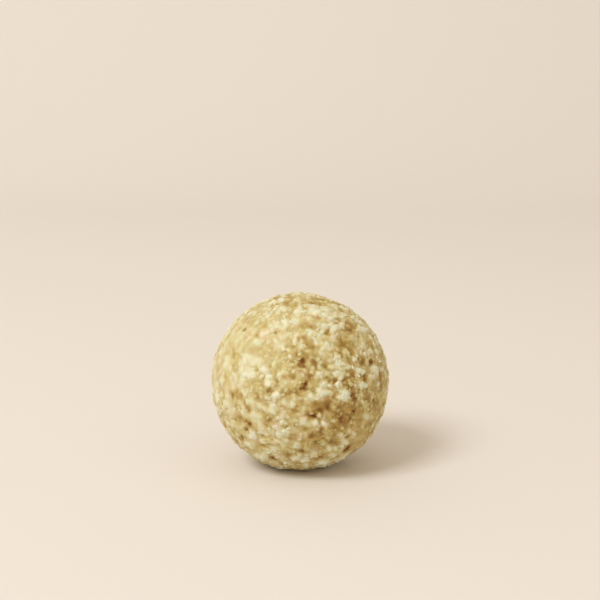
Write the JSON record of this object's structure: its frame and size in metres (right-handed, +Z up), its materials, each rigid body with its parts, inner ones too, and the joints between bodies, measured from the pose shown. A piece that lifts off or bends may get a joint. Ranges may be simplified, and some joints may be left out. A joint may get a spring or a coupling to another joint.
{
  "type": "stuffed date ball",
  "caption": "Bite-size ball of stuffed date paste, rolled all round in pale chopped nuts and settled on a small flat spot.",
  "frame": {"origin": "middle of the flat spot that the ball rests on, under the middle of its box", "axes": "+Z up from the flat spot through the ball; the ball has no front, and the side that the picture shows faces -Y"},
  "size_m": [0.0348, 0.0348, 0.0339],
  "materials": {
    "nut_coat": "pale cream chopped nuts, dry with a slight oily sheen"
  },
  "bodies": {
    "root": {"date_ball": "nut_coat"}
  },
  "joints": []
}
